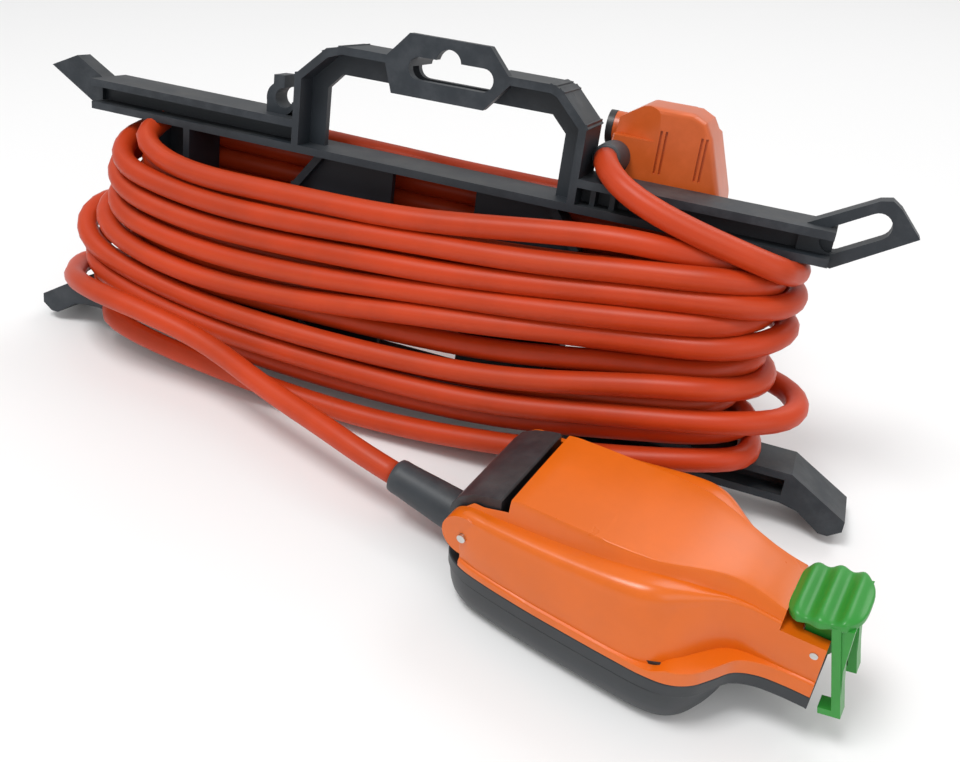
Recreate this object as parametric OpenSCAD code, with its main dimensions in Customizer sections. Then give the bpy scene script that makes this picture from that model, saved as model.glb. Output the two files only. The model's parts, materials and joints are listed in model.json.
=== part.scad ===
// Outdoor extension lead: moulded cable carrier, wound flex, three-pin plug, weatherproof trailing socket.
// Millimetres, +Z up, floor at z = 0, origin under the middle of the trailing socket, whose cord leaves at +X.
// The carrier stands behind it on its lower horns and leans back a little.

/* [Carrier] */
// Half of the upper bar, from its middle to the bend of a horn
bar_half = 154; // [130:1:170]
// Depth of the flanges along the bars and the handle
flange_depth = 22; // [16:1:26]
// Thickness of every web and flange
web_t = 3; // [2:0.5:4]
// Height of the under side of the upper bar
upper_bar_z = 99; // [90:1:110]
// Height of each bar
bar_h = 12.5; // [10:0.5:16]
// Height of the under side of the lower bar
lower_bar_z = 8; // [6:1:12]
// Width of the hand opening
hand_w = 99; // [90:1:110]
// Angle that the carrier leans back
lean = 12; // [6:1:14]
// Angle of the carrier to the socket's long axis
carrier_turn = 9; // [0:1:14]

/* [Flex] */
// Outer diameter of the three-core flex
cord_d = 9; // [7:0.2:9]
// Half of the winding's length along the bars
coil_half = 150; // [140:1:156]

/* [Trailing socket] */
// Half width of the body at its widest
body_half = 36; // [34:1:40]
// Height of the parting line where the cover closes on the tray
lip_z = 21; // [19:0.5:23]
// Height of the flat top of the cover
cover_top = 51; // [48:1:56]
// Wall of the weather cover
cover_wall = 2.4; // [1.8:0.2:3]
// Half width of the neck that the appliance's cord leaves by
neck_half = 16; // [14:0.5:18]
// Angle that the unhooked latch stands out from the neck
latch_rest = 14; // [10:1:18]

/* [Plug] */
// Length of the plug's body from its cord end to its earth end
plug_len = 48; // [46:1:52]
// Width of the plug's body
plug_w = 50; // [48:1:52]
// Depth of the plug's body over the pin face
plug_h = 25; // [23:1:28]

/* [Hidden] */
$fn = 48;
e = 0.01;
fit = 0.3;

// Carrier
half_d = flange_depth / 2;
stand_z = half_d * sin(lean);
carrier_at = [-118, 59];
bar_top = upper_bar_z + bar_h;
lower_top = lower_bar_z + bar_h;
hand_mid = 3;
hand_l = hand_mid - hand_w / 2;
hand_r = hand_mid + hand_w / 2;
post_w = 10;
grip_low = 131;
grip_high = 142.5;
tab_t = 4;

// Socket: long axis X, neck at +X, hinge at -X
rear_x = -46;
bulge_x = 36;
neck_x = 77;
neck_low = 16;
face_z = 27;
neck_top = 44;
hinge_x = -36;
hinge_z = 34;
hinge_pin_d = 3;
latch_x = 74;
latch_z = 36.5;
latch_pin_d = 2.4;
clamp_x = -36.5;
clamp_y = 7.4;
wall = 2.5;
earth_x = -9;
pin_gap = 22.2;
line_x = earth_x + pin_gap;

// Plug: pins along +Z, earth end at +Y, cord end at -Y; it hangs behind the upper bar
plug_at = [88, 40.5, 113];
line_pin = [6.35, 3.97, 17.7];
earth_pin = [3.97, 7.92, 22.7];
base_t = 5;
grip_y = -16.8;

// The route of the free flex, from the socket's boot to the winding
socket_route = [
    [-80.3, 0, 19], [-97, 0.5, 21.5], [-116, 3, 23.5], [-136, 6, 24.5], [-157, 9, 26.5], [-176, 12, 29],
    [-192, 13, 31.5], [-206, 11.5, 34], [-219, 10, 36], [-232, 8.5, 37.5], [-245, 8.5, 37.5], [-257, 11.5, 36],
    [-268, 17, 33], [-277, 25, 30]
];
// The route from the winding's right end over the upper bar to the plug's boot, in the carrier's own frame
plug_route = [
    [146, -18, 95.5], [136, -21.5, 98], [122, -22, 101], [106, -21.5, 104.5], [92, -20.5, 108.5],
    [82, -18.5, 112], [75, -14, 115.5], [70.5, -7, 118], [68.5, 0.5, 118.5]
];

// A point of the carrier's own frame, leaned back, turned and set down behind the socket
function leaned(p) = let (y = p[1] * cos(lean) + p[2] * sin(lean)) [
    carrier_at[0] + p[0] * cos(carrier_turn) - y * sin(carrier_turn),
    carrier_at[1] + p[0] * sin(carrier_turn) + y * cos(carrier_turn),
    p[2] * cos(lean) - p[1] * sin(lean) + stand_z
];

// ---- helpers ----
module place_carrier() {
    translate([carrier_at[0], carrier_at[1], stand_z]) rotate([0, 0, carrier_turn]) rotate([-lean, 0, 0]) children();
}
module place_plug() { place_carrier() translate(plug_at) rotate([-90, 0, 0]) rotate([0, 0, -90]) children(); }

function unit(v) = v / norm(v);
function heading(pts, i) =
    unit(pts[min(i + 1, len(pts) - 1)] - pts[max(i - 1, 0)]);
function across(t) = unit(cross(t, [0, 0, 1]));

// A round tube swept through a list of points
module sweep(pts, d, sides = 8) {
    n = len(pts);
    rings = [for (i = [0 : n - 1]) let (t = heading(pts, i), a = across(t), b = cross(a, t))
        for (k = [0 : sides - 1]) let (q = 360 * k / sides)
            pts[i] + (a * cos(q) + b * sin(q)) * d / 2];
    skin = [for (i = [0 : n - 2]) for (k = [0 : sides - 1]) let (m = (k + 1) % sides)
        [i * sides + k, i * sides + m, (i + 1) * sides + m, (i + 1) * sides + k]];
    lids = [[for (k = [sides - 1 : -1 : 0]) k], [for (k = [0 : sides - 1]) (n - 1) * sides + k]];
    polyhedron(rings, concat(skin, lids), convexity = 6);
}

// A flat bar with round corners, in the XY plane
module round_rect(w, h, r) {
    polygon([for (c = [[1, 1, 0], [-1, 1, 90], [-1, -1, 180], [1, -1, 270]]) for (k = [0 : 6])
        [c[0] * (w / 2 - r) + r * cos(c[2] + 15 * k), c[1] * (h / 2 - r) + r * sin(c[2] + 15 * k)]]);
}

// A slab drawn in the carrier's face and spread about a depth
module slab(depth, at = 0) {
    translate([0, at + depth / 2, 0]) rotate([90, 0, 0]) linear_extrude(depth) children();
}

// A strip of the web's thickness that follows an open line in the carrier's face
module strip(pts, t) {
    for (i = [0 : len(pts) - 2]) {
        a = pts[i];
        b = pts[i + 1];
        ang = atan2(b[1] - a[1], b[0] - a[0]);
        translate(a) rotate(ang) translate([-t / 2, -t / 2]) square([norm(b - a) + t, t]);
    }
}

module slot2d(a, b, r) {
    ang = atan2(b[1] - a[1], b[0] - a[0]);
    polygon([for (k = [0 : 25]) let (q = ang - 90 + 15 * (k > 12 ? k - 1 : k))
        (k > 12 ? a : b) + r * [cos(q), sin(q)]]);
}

// ---- carrier ----
module handle_tab_2d() {
    polygon([[-18.5, 139.5], [-18.5, 142], [-9.5, 151.5], [22.5, 151.5], [32.5, 140.5], [22.5, 129], [-15, 129]]);
}

module hang_slot_2d() {
    slot2d([-4.5, 139.5], [21, 139.5], 4.2);
    translate([7, 143]) circle(5);
}

module web_2d() {
    difference() {
        union() {
            translate([-bar_half, upper_bar_z]) square([2 * bar_half, bar_h]);
            translate([-bar_half - 7, lower_bar_z]) square([2 * bar_half + 14, bar_h]);
            polygon([
                [hand_l - post_w, upper_bar_z], [hand_l - post_w, 129], [hand_l + 2, 140], [hand_l + 9, grip_high],
                [hand_r - 5, grip_high], [hand_r - 1, 141], [hand_r + post_w, 130], [hand_r + post_w, upper_bar_z]
            ]);
            for (x = [-114, 114]) translate([x - 8, lower_bar_z]) square([16, upper_bar_z - lower_bar_z + e]);
            for (s = [-1, 1]) {
                polygon([
                    [hand_mid + s * 18, upper_bar_z + e], [hand_mid + s * 50, upper_bar_z + e],
                    [hand_mid + s * 62, 84], [hand_mid + s * 62, 36], [hand_mid + s * 50, lower_top - e],
                    [hand_mid + s * 18, lower_top - e]
                ]);
            }
            translate([-72.5, 100]) square([6, 14]);
        }
        polygon([
            [hand_l, upper_bar_z + web_t], [hand_l, 125], [hand_l + 6, grip_low],
            [hand_r - 6, grip_low], [hand_r, 125], [hand_r, upper_bar_z + web_t]
        ]);
    }
}

// Lower horn: runs down to the floor, as deep as the flanges
module lower_horn() {
    polygon([
        [bar_half + 6, lower_bar_z], [bar_half + 6, lower_top], [bar_half + 8, lower_top],
        [184.5, 7.5], [184.5, 3.2], [180, 0], [176.5, 0], [bar_half + 13, lower_bar_z - 1.5]
    ]);
}

module carrier_frame() color([0.2, 0.23, 0.26]) place_carrier() difference() {
    carrier_solid();
    slab(60) hang_slot_2d();
}

module carrier_solid() {
    slab(web_t) web_2d();
    // flanges along the bars
    for (z = [upper_bar_z, bar_top - web_t]) {
        for (s = [[-bar_half, hand_l - post_w + 1], [hand_r + post_w - 1, bar_half]])
            translate([s[0], -half_d, z]) cube([s[1] - s[0], flange_depth, web_t]);
    }
    translate([hand_l - post_w, -half_d, upper_bar_z]) cube([hand_w + 2 * post_w, flange_depth, web_t]);
    for (z = [lower_bar_z, lower_top - web_t])
        translate([-bar_half - 7, -half_d, z]) cube([2 * bar_half + 14, flange_depth, web_t]);
    // flange round the outside of the handle
    slab(flange_depth) strip([
        [hand_l - post_w + web_t / 2, upper_bar_z + 2], [hand_l - post_w + web_t / 2, 128.5], [hand_l + 3, 138.8],
        [hand_l + 9.5, grip_high - web_t / 2], [hand_r - 5, grip_high - web_t / 2], [hand_r - 2, 139.8],
        [hand_r + post_w - web_t / 2, 129.5], [hand_r + post_w - web_t / 2, upper_bar_z + 2]
    ], web_t);
    // hanging tab on the front of the handle
    slab(tab_t, tab_t / 2 - half_d) handle_tab_2d();
    // posts that the flex is wound round
    for (x = [-122, -106, 106, 122])
        translate([x - web_t / 2, -half_d, lower_top - 1]) cube([web_t, flange_depth, upper_bar_z - lower_top + 2]);
    // edges of the two middle plates
    for (s = [-1, 1]) slab(10) strip([
        [hand_mid + s * 49, upper_bar_z], [hand_mid + s * 60.5, 84], [hand_mid + s * 60.5, 36], [hand_mid + s * 49, lower_top]
    ], web_t);
    // plug pocket beside the handle
    for (x = [67, 74.5]) translate([x, -7, upper_bar_z + 1]) cube([2, 14, bar_h - 2]);
    // spring clip beside the handle is deeper than the web
    slab(9) difference() {
        union() {
            translate([-66, 117.4]) circle(6.5);
            translate([-72.3, 110]) square([5, 8]);
            polygon([[-69.5, 122], [-66, 121], [-62.5, 127], [-69.5, 126.5]]);
        }
        translate([-64.5, 118]) circle(3.9);
        translate([-64.5, 117]) square([8, 20]);
    }
    // upper horns: a solid one on the left, one with a hanging slot on the right
    slab(8) polygon([
        [-bar_half, upper_bar_z], [-bar_half, bar_top], [-167, 118.5], [-180.5, 112.5], [-bar_half - 1, upper_bar_z - 1]
    ]);
    slab(8) difference() {
        polygon([
            [142, upper_bar_z], [142, bar_top], [143.5, bar_top], [165, 123.5], [169, 124.3], [172.5, 122],
            [180.5, 113.5], [155, upper_bar_z - 1.5]
        ]);
        slot2d([153.5, 107.3], [166.5, 115], 4.6);
    }
    for (m = [0, 1]) mirror([m, 0, 0]) slab(flange_depth) lower_horn();
}

// ---- flex ----
module winding_shape() place_carrier() difference() {
    hull() {
        translate([14 - coil_half - 24, -20, -4]) cylinder(r = 14, h = 60, $fn = 32);
        translate([14 - coil_half, -20, 60]) cylinder(r = 14, h = 37, $fn = 32);
        translate([coil_half - 12, -20, 26]) cylinder(r = 14, h = 71, $fn = 32);
        translate([14 - coil_half - 22, 17, 16]) cylinder(r = 14, h = 40, $fn = 32);
        translate([14 - coil_half, 17, 50]) cylinder(r = 14, h = 36, $fn = 32);
        translate([coil_half - 12, 17, 26]) cylinder(r = 14, h = 60, $fn = 32);
    }
    translate([-coil_half + 22, -half_d - 0.5, -30]) cube([2 * coil_half - 44, flange_depth + 1, 160]);
    translate([-220, -half_d - 0.5, -30]) cube([440, flange_depth + 1, lower_top + 30.5]);
    translate([-220, -half_d - 0.5, upper_bar_z - 0.5]) cube([440, flange_depth + 1, 40]);
}

module cord_winding() color([0.78, 0.28, 0.14]) winding_shape();

// The two free stretches end flush on the outside of the winding
module cord_to_socket() color([0.8, 0.3, 0.15]) difference() {
    sweep(socket_route, cord_d, 10);
    winding_shape();
}

module cord_to_plug() color([0.8, 0.3, 0.15]) difference() {
    sweep([for (p = plug_route) leaned(p)], cord_d, 10);
    winding_shape();
}

// ---- plug ----
// Outline of the body seen from the pins: narrower at the earth end, necked at the cord end
module plug_outline(inset = 0) {
    w = plug_w / 2 - inset;
    l = plug_len / 2 - inset;
    polygon([
        [-w, -l + 10], [-w + 9, -l + 1], [-11 + inset, -l], [11 - inset, -l], [w - 9, -l + 1], [w, -l + 10],
        [w, l - 20], [w - 11, l - 3], [w - 14, l], [-w + 14, l], [-w + 11, l - 3], [-w, l - 20]
    ]);
}

module plug_shell() color([0.85, 0.42, 0.18]) difference() {
    place_plug() shell_solid();
    boot_shape();
}

module shell_solid() difference() {
    hull() {
        translate([0, 0, -base_t - 9]) linear_extrude(9) plug_outline();
        translate([0, 0, -plug_h]) linear_extrude(1) plug_outline(4);
    }
    hull() {
        translate([0, 0, -base_t - 9]) linear_extrude(10) plug_outline(2.2);
        translate([0, 0, -plug_h + 2.4]) linear_extrude(1) plug_outline(6);
    }
    translate([0, -plug_len / 2 + 6, -12]) rotate([90, 0, 0]) cylinder(d = 12.6, h = 10);
    translate([0, 7.5, -plug_h - 1]) cylinder(d = 3.4, h = 12);
}

module plug_pin_plate() color([0.85, 0.42, 0.18]) place_plug() difference() {
    translate([0, 0, -base_t]) linear_extrude(base_t) plug_outline();
    translate([0, 11, -base_t - 1]) cube([3.97, 7.92, 20], center = true);
    for (s = [-1, 1]) translate([s * pin_gap / 2, 11 - pin_gap, -base_t]) cube([6.35, 3.97, 20], center = true);
    translate([-9, -3.5, -6]) cube([18, 7, 7]);
    for (s = [-1, 1]) translate([s * 8.3, grip_y, -6]) cylinder(d = 2.7, h = 4);
}

module plug_earth_pin() color([0.8, 0.66, 0.34]) place_plug()
    translate([-earth_pin[0] / 2, 11 - earth_pin[1] / 2, -base_t - 8]) cube([earth_pin[0], earth_pin[1], earth_pin[2] + base_t + 8]);

module plug_line_pins() color([0.8, 0.66, 0.34]) place_plug() for (s = [-1, 1])
    translate([s * pin_gap / 2 - line_pin[0] / 2, 11 - pin_gap - line_pin[1] / 2, -base_t - 6])
        cube([line_pin[0], line_pin[1], line_pin[2] + base_t + 6]);

// The insulating sleeves stand round the half of each line pin that is next to the body
module plug_pin_sleeves() color([0.12, 0.12, 0.13]) place_plug() for (s = [-1, 1])
    translate([s * pin_gap / 2, 11 - pin_gap, 4.75]) difference() {
        cube([7.15, 4.77, 9.5], center = true);
        cube([6.35, 3.97, 12], center = true);
    }

module plug_fuse() color([0.88, 0.85, 0.78]) place_plug()
    translate([9.4, -11.9, -14.3]) rotate([-90, 0, 0]) cylinder(d = 6.3, h = 25.4);

module plug_fuse_clips() color([0.75, 0.7, 0.55]) place_plug() for (y = [-9, 8])
    translate([9.4, y, -14.3]) rotate([-90, 0, 0]) difference() {
        translate([-4.2, -4.2, 0]) cube([8.4, 7, 4]);
        translate([0, 0, -1]) cylinder(d = 6.34, h = 6);
    }

module plug_fuse_carrier() color([0.2, 0.2, 0.22]) place_plug()
    translate([-8.8, -3.3, -5.8]) difference() {
        cube([17.6, 6.6, 5.5]);
        translate([7.8, 2.6, 4.7]) cube([2, 1.4, 2]);
    }

module plug_cord_grip() color([0.92, 0.9, 0.85]) place_plug()
    translate([0, grip_y, -7]) difference() {
        translate([-11, -3, -0.8]) cube([22, 6, 2]);
        for (s = [-1, 1]) translate([s * 8.3, 0, -4]) cylinder(d = 2.7, h = 8);
    }

module plug_grip_screws() color([0.72, 0.72, 0.7]) place_plug() for (s = [-1, 1])
    translate([s * 8.3, grip_y, -7]) {
        translate([0, 0, -1.2]) cylinder(d = 2.64, h = 6);
        translate([0, 0, -3]) cylinder(d = 4.8, h = 2.2);
    }

module plug_shell_screw() color([0.75, 0.66, 0.4]) place_plug() {
    translate([0, 7.5, -plug_h + 0.6]) cylinder(d = 3.3, h = 5);
    translate([0, 7.5, -plug_h + 2.5]) cylinder(d = 6, h = 2);
}

// Tapered relief that turns the flex from the plug towards the front
module boot_shape() place_carrier() {
    hull() {
        translate([67.9, 28.5, 113.4]) rotate([0, -90, 0]) cylinder(d = 12.8, h = 3, $fn = 24);
        translate([68.6, 15, 118]) rotate([90, 0, -14]) cylinder(d = 12.4, h = 3, $fn = 24);
    }
    hull() {
        translate([68.6, 15, 118]) rotate([90, 0, -14]) cylinder(d = 12.4, h = 3, $fn = 24);
        translate([68.5, 3.5, 118.5]) rotate([90, 0, 0]) cylinder(d = 10.4, h = 3, $fn = 24);
    }
}

module plug_boot() color([0.22, 0.24, 0.26]) boot_shape();

module plug_collar_ring() color([0.15, 0.16, 0.17]) place_carrier()
    translate([60.9, 31, 126]) rotate([0, 90, 0]) difference() {
        cylinder(d = 13, h = 2.6);
        translate([0, 0, -1]) cylinder(d = 8.5, h = 5);
    }

module plug_cores() color([0.35, 0.5, 0.25]) place_plug() {
    sweep([[-3, -17.8, -13], [-8, -13.5, -15.5], [-11.1, -8, -16.5], [-11.1, -10.5, -11.5]], 2.4);
    sweep([[3, -17.8, -13], [5, -15.5, -15.5], [6.5, -15, -17.5], [9, -13.4, -15.5]], 2.4);
    sweep([[0, -17.8, -16], [-2.5, -10, -18], [-2, 4, -18], [-0.5, 10, -14.5]], 2.4);
}

// ---- trailing socket ----
// Half outline of the body at a given inset: narrow at the hinge, widest before the shoulders, then the neck
function body_pts(inset, nose) = let (w = body_half - inset, r = rear_x + inset, n = neck_half - inset)
    [
        [r, 0], [r, w - 18], [r + 3, w - 12], [r + 9, w - 7.5], [r + 16, w - 5.8], [0, w - 2.2],
        [bulge_x - 14, w - 0.5], [bulge_x - 4, w], [bulge_x + 4, w - 1.2], [bulge_x + 10, w - 5],
        [bulge_x + 14, w - 11], [bulge_x + 19, n + 3.4], [bulge_x + 26, n + 0.4], [neck_x - nose, n]
    ];

module body_outline(inset = 0, nose = 0) {
    half = body_pts(inset, nose);
    far = [for (i = [len(half) - 1 : -1 : 1]) [half[i][0], -half[i][1]]];
    polygon(concat(half, far));
}

module top_outline(inset = 0) {
    w = body_half - 6 - inset;
    polygon([for (s = [[1, 0], [-1, 7]]) for (i = [0 : 7]) let (
        q = [[-23 + inset, w - 2], [6, w - 1], [bulge_x - 8, w], [bulge_x + 2, w - 2], [bulge_x + 8, w - 8],
            [bulge_x + 12, w - 14], [bulge_x + 14 - inset, 12], [bulge_x + 14 - inset, 4]][abs(s[1] - i)]
    ) [q[0], s[0] * q[1]]]);
}

module cord_space() { translate([rear_x - 1, 0, 12.5]) rotate([0, 90, 0]) cylinder(d = cord_d + 0.6, h = 20); }

module socket_underside() color([0.24, 0.27, 0.29]) difference() {
    union() {
        difference() {
            hull() {
                linear_extrude(1) body_clip() body_outline(6);
                translate([0, 0, 6]) linear_extrude(9.8) body_clip() body_outline(0.6);
            }
            hull() {
                translate([0, 0, wall]) linear_extrude(1) body_clip() body_outline(8.6);
                translate([0, 0, 8]) linear_extrude(20) body_clip() body_outline(3.2);
            }
        }
        for (p = screw_spots) translate([p[0], p[1], 0.5]) cylinder(d = 9, h = 4.7);
        for (s = [-1, 1]) translate([clamp_x, s * clamp_y, 1]) cylinder(d = 4.6, h = 11);
    }
    cord_space();
    for (p = screw_spots) translate([p[0], p[1], 0]) {
        translate([0, 0, -1]) cylinder(d = 3.4, h = 20);
        translate([0, 0, -1]) cylinder(d = 6.4, h = 3.5);
    }
    for (s = [-1, 1]) translate([clamp_x, s * clamp_y, 5]) cylinder(d = 2.7, h = 12);
}

// Keeps the outline to the part behind the neck
module body_clip() { intersection() { children(); translate([rear_x - 10, -60]) square([bulge_x + 60, 120]); } }

screw_spots = [[-32, 17], [-32, -17], [40, 22], [40, -22]];

module socket_tray() color([0.22, 0.25, 0.27]) difference() {
    union() {
        translate([0, 0, neck_low]) linear_extrude(lip_z - neck_low) body_outline(0);
        translate([neck_x - 24, -neck_half, lip_z - 1]) cube([24, 2 * neck_half, 4]);
        // hinge block that stands between the two ears of the cover
        translate([-45, -21, lip_z - 1]) cube([18, 42, 14.5]);
        translate([hinge_x, 21, hinge_z]) rotate([90, 0, 0]) cylinder(r = 9.5, h = 42);
        // post for each screw
        for (p = screw_spots) translate([p[0], p[1], 5.4]) cylinder(d = 7, h = neck_low - 5);
    }
    // pocket over the cord clamp
    translate([-43, -12, 10]) cube([20, 24, 10]);
    gasket_ring(lip_z - 0.9, 2);
    translate([0, 0, neck_low - 1]) linear_extrude(20) polygon([
        [-25.5, -27], [-25.5, 27], [8, 30], [30, 31.5], [41, 26], [46, 18], [46, -18], [41, -26], [30, -31.5], [8, -30]
    ]);
    for (p = screw_spots) translate([p[0], p[1], 0]) cylinder(d = 2.6, h = 12);
    translate([hinge_x, 40, hinge_z]) rotate([90, 0, 0]) cylinder(d = hinge_pin_d + 0.06, h = 80);
    // half round way for the appliance's cord along the neck
    translate([44, 0, lip_z + 5]) rotate([0, 90, 0]) cylinder(d = 12, h = 40);
}

module underside_screws() color([0.7, 0.7, 0.68]) for (p = screw_spots)
    translate([p[0], p[1], 0.4]) {
        cylinder(d = 6, h = 2);
        cylinder(d = 2.56, h = 11);
    }

// Ring that lies in a groove of the tray, open behind the hinge block
module gasket_ring(z, h, slack = 0) {
    translate([0, 0, z]) linear_extrude(h) difference() {
        body_clip() body_outline(1.2 + slack);
        body_outline(2.2 - slack);
        translate([-60, -22 - slack]) square([34 + slack, 44 + 2 * slack]);
        translate([bulge_x + 13 - slack, -30]) square([20, 60]);
    }
}

module tray_gasket() color([0.1, 0.1, 0.11]) gasket_ring(lip_z - 0.9, 0.8, 0.05);

module socket_face() color([0.16, 0.18, 0.19]) difference() {
    union() {
        translate([8, 0, face_z - 3]) linear_extrude(3) round_rect(62, 53, 5);
        translate([8, 0, neck_low + 0.2]) linear_extrude(face_z - neck_low - 3) difference() {
            round_rect(62, 53, 5);
            round_rect(57, 48, 3);
        }
        // rails with a lip that the shutter slides in, and the stop of its spring
        for (m = [0, 1]) mirror([0, m, 0]) translate([-4, 16.3, 19]) {
            cube([28, 1.6, face_z - 3 - 19 + e]);
            translate([0, -1.5, 0]) cube([28, 1.6, 1.3]);
        }
        translate([30.4, -3, 19]) cube([1.6, 6, face_z - 3 - 19 + e]);
    }
    translate([earth_x, 0, 20]) cube([8.8, 4.8, 30], center = true);
    for (s = [-1, 1]) translate([line_x, s * pin_gap / 2, 20]) cube([4.8, 7.2, 30], center = true);
    for (s = [-1, 1]) translate([31, s * 18, 10]) cylinder(d = 3.3, h = 20);
}

module face_screws() color([0.7, 0.7, 0.68]) for (s = [-1, 1])
    translate([31, s * 18, 0]) {
        translate([0, 0, face_z]) cylinder(d = 5.6, h = 1.6);
        translate([0, 0, 17]) cylinder(d = 3.24, h = face_z - 17 + 0.1);
    }

module contact_block() color([0.85, 0.83, 0.78]) difference() {
    translate([-18, -21, 4]) cube([48, 42, 3]);
    translate([earth_x, 0, 5]) cube([10, 7, 6], center = true);
    for (s = [-1, 1]) translate([line_x, s * pin_gap / 2, 5]) cube([7, 9, 6], center = true);
}

// A folded brass contact with a slot that grips one pin, and a terminal for its core
module pin_contact(slot_x, slot_y, high, reach) {
    side = sign(reach);
    difference() {
        translate([-slot_x / 2 - 1.2, -slot_y / 2 - 1.2, 7.05]) cube([slot_x + 2.4, slot_y + 2.4, high]);
        translate([-slot_x / 2, -slot_y / 2, 6]) cube([slot_x, slot_y, high + 4]);
    }
    translate([reach, 0, 10.5]) difference() {
        translate([-3.5, -3.5, -3.4]) cube([7, 7, 6.8]);
        translate([0, 0, -1]) cylinder(d = 2.6, h = 8);
    }
    translate([side > 0 ? slot_x / 2 + 0.6 : reach + 2, -2, 7.05])
        cube([abs(reach) - slot_x / 2 - 2.6, 4, 1.2]);
}

module live_contact() color([0.8, 0.66, 0.34]) translate([line_x, pin_gap / 2, 0]) pin_contact(4.3, 6.7, 9.5, -11.5);
module neutral_contact() color([0.8, 0.66, 0.34]) translate([line_x, -pin_gap / 2, 0]) pin_contact(4.3, 6.7, 9.5, -11.5);
module earth_contact() color([0.8, 0.66, 0.34]) translate([earth_x, 0, 0]) pin_contact(8.3, 4.3, 12, 13.5);

terminals = [[line_x - 11.5, pin_gap / 2], [line_x - 11.5, -pin_gap / 2], [earth_x + 13.5, 0]];

module terminal_screws() color([0.72, 0.72, 0.7]) for (p = terminals)
    translate([p[0], p[1], 11]) {
        cylinder(d = 2.54, h = 4);
        translate([0, 0, 2.95]) cylinder(d = 4.4, h = 1.4);
    }

// Sliding shutter: closes both line apertures at rest, its windows come under them when it has slid
module shutter() color([0.93, 0.93, 0.9]) difference() {
    translate([-2.2, -16, 20.6]) cube([19, 32, 1.8]);
    for (s = [-1, 1]) translate([line_x - 6, s * pin_gap / 2, 21]) cube([5.2, 7.8, 6], center = true);
    translate([-3, -2, 20]) cube([5.5, 4, 4]);
}

module shutter_spring() color([0.75, 0.75, 0.74]) translate([17.2, 0, 21.5]) rotate([0, 90, 0])
    sweep([for (i = [0 : 60]) [1.3 * cos(36 * i), 1.3 * sin(36 * i), 0.213 * i]], 0.7, 6);

module cord_clamp() color([0.85, 0.83, 0.78]) difference() {
    translate([clamp_x - 3.5, -10, 16.9]) cube([7, 20, 1.9]);
    for (s = [-1, 1]) translate([clamp_x, s * clamp_y, 10]) cylinder(d = 2.7, h = 14);
}

module clamp_screws() color([0.72, 0.72, 0.7]) for (s = [-1, 1])
    translate([clamp_x, s * clamp_y, 0]) {
        translate([0, 0, 8]) cylinder(d = 2.64, h = 11);
        translate([0, 0, 18.8]) cylinder(d = 4.2, h = 1);
    }

// Tapered relief at the rear of the socket; the flex enters along its axis
module socket_boot() color([0.22, 0.24, 0.27]) hull() {
    translate([rear_x - 0.05, 0, 13.2]) rotate([0, -90, 0]) cylinder(d = 17, h = 4, $fn = 32);
    translate([-80, 0, 19.1]) rotate([0, 100, 0]) cylinder(d = 12.6, h = 2, $fn = 32);
}

module core(route) { sweep(route, 2.4); }
module live_core() color([0.45, 0.27, 0.15]) core([[-44, 2.6, 12.5], [-32, 2.6, 12.5], [-22, 7, 12], [-12, 10.5, 11.2], [-2.2, 11.1, 10.6]]);
module neutral_core() color([0.15, 0.3, 0.7]) core([[-44, -2.6, 12.5], [-32, -2.6, 12.5], [-22, -7, 12], [-12, -10.5, 11.2], [-2.2, -11.1, 10.6]]);
module earth_core() color([0.4, 0.6, 0.2]) core([[-44, 0, 15.2], [-32, 0, 15.2], [-25, 1, 14.2], [-19, 4.4, 12.2], [-9, 6.2, 11], [-2, 5.4, 10.5], [0.2, 3.6, 10.5]]);

module weather_cover() color([0.88, 0.44, 0.14]) difference() {
    union() {
        hull() {
            translate([0, 0, lip_z + fit]) linear_extrude(5) cover_clip() body_outline(0);
            translate([0, 0, cover_top - 6]) linear_extrude(1) top_outline(-3);
            translate([0, 0, cover_top - 1]) linear_extrude(1) top_outline();
        }
        hull() {
            translate([bulge_x, -neck_half, lip_z + 3 + fit]) cube([neck_x - bulge_x, 2 * neck_half, 12]);
            translate([bulge_x, 2 - neck_half, neck_top - 1]) cube([neck_x - bulge_x - 1, 2 * neck_half - 4, 1]);
        }
        // ears that hold the hinge pin
        for (s = [-1, 1]) translate([hinge_x, s * 25.5 + 3.7, hinge_z]) rotate([90, 0, 0]) cylinder(r = 8.6, h = 7.4);
    }
    hull() {
        translate([0, 0, lip_z - 1]) linear_extrude(6) cover_clip() body_outline(cover_wall);
        translate([0, 0, cover_top - 3.5]) linear_extrude(1) top_outline(1.5);
    }
    hull() {
        translate([bulge_x - 4, cover_wall - neck_half, lip_z - 1]) cube([28, 2 * (neck_half - cover_wall), 13]);
        translate([bulge_x - 4, 4.5 - neck_half, neck_top - 3.4]) cube([28, 2 * neck_half - 9, 1]);
    }
    translate([bulge_x, cover_wall - neck_half, lip_z - 1]) cube([60, 2 * (neck_half - cover_wall), 11.5]);
    // step that the latch's finger pad lies in
    translate([61, -30, 40]) cube([40, 60, 20]);
    // room for the hinge block
    translate([-60, -21.5, lip_z - 1]) cube([36.5, 43, 40]);
    translate([hinge_x, 21.5, hinge_z]) rotate([90, 0, 0]) cylinder(r = 14, h = 43);
    translate([hinge_x, 40, hinge_z]) rotate([90, 0, 0]) cylinder(d = hinge_pin_d + 0.06, h = 80);
    // the tray's neck stays clear, and the latch has its slot
    translate([latch_x, 30, latch_z]) rotate([90, 0, 0]) cylinder(d = latch_pin_d + 0.06, h = 60);
    translate([latch_x - 6.8, -10, latch_z - 8]) cube([20, 20, 20]);
}

// Keeps the outline of the cover's main body in front of the rear corners
module cover_clip() { intersection() { children(); translate([hinge_x - 1, -60]) square([bulge_x + 56, 120]); } }

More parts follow.
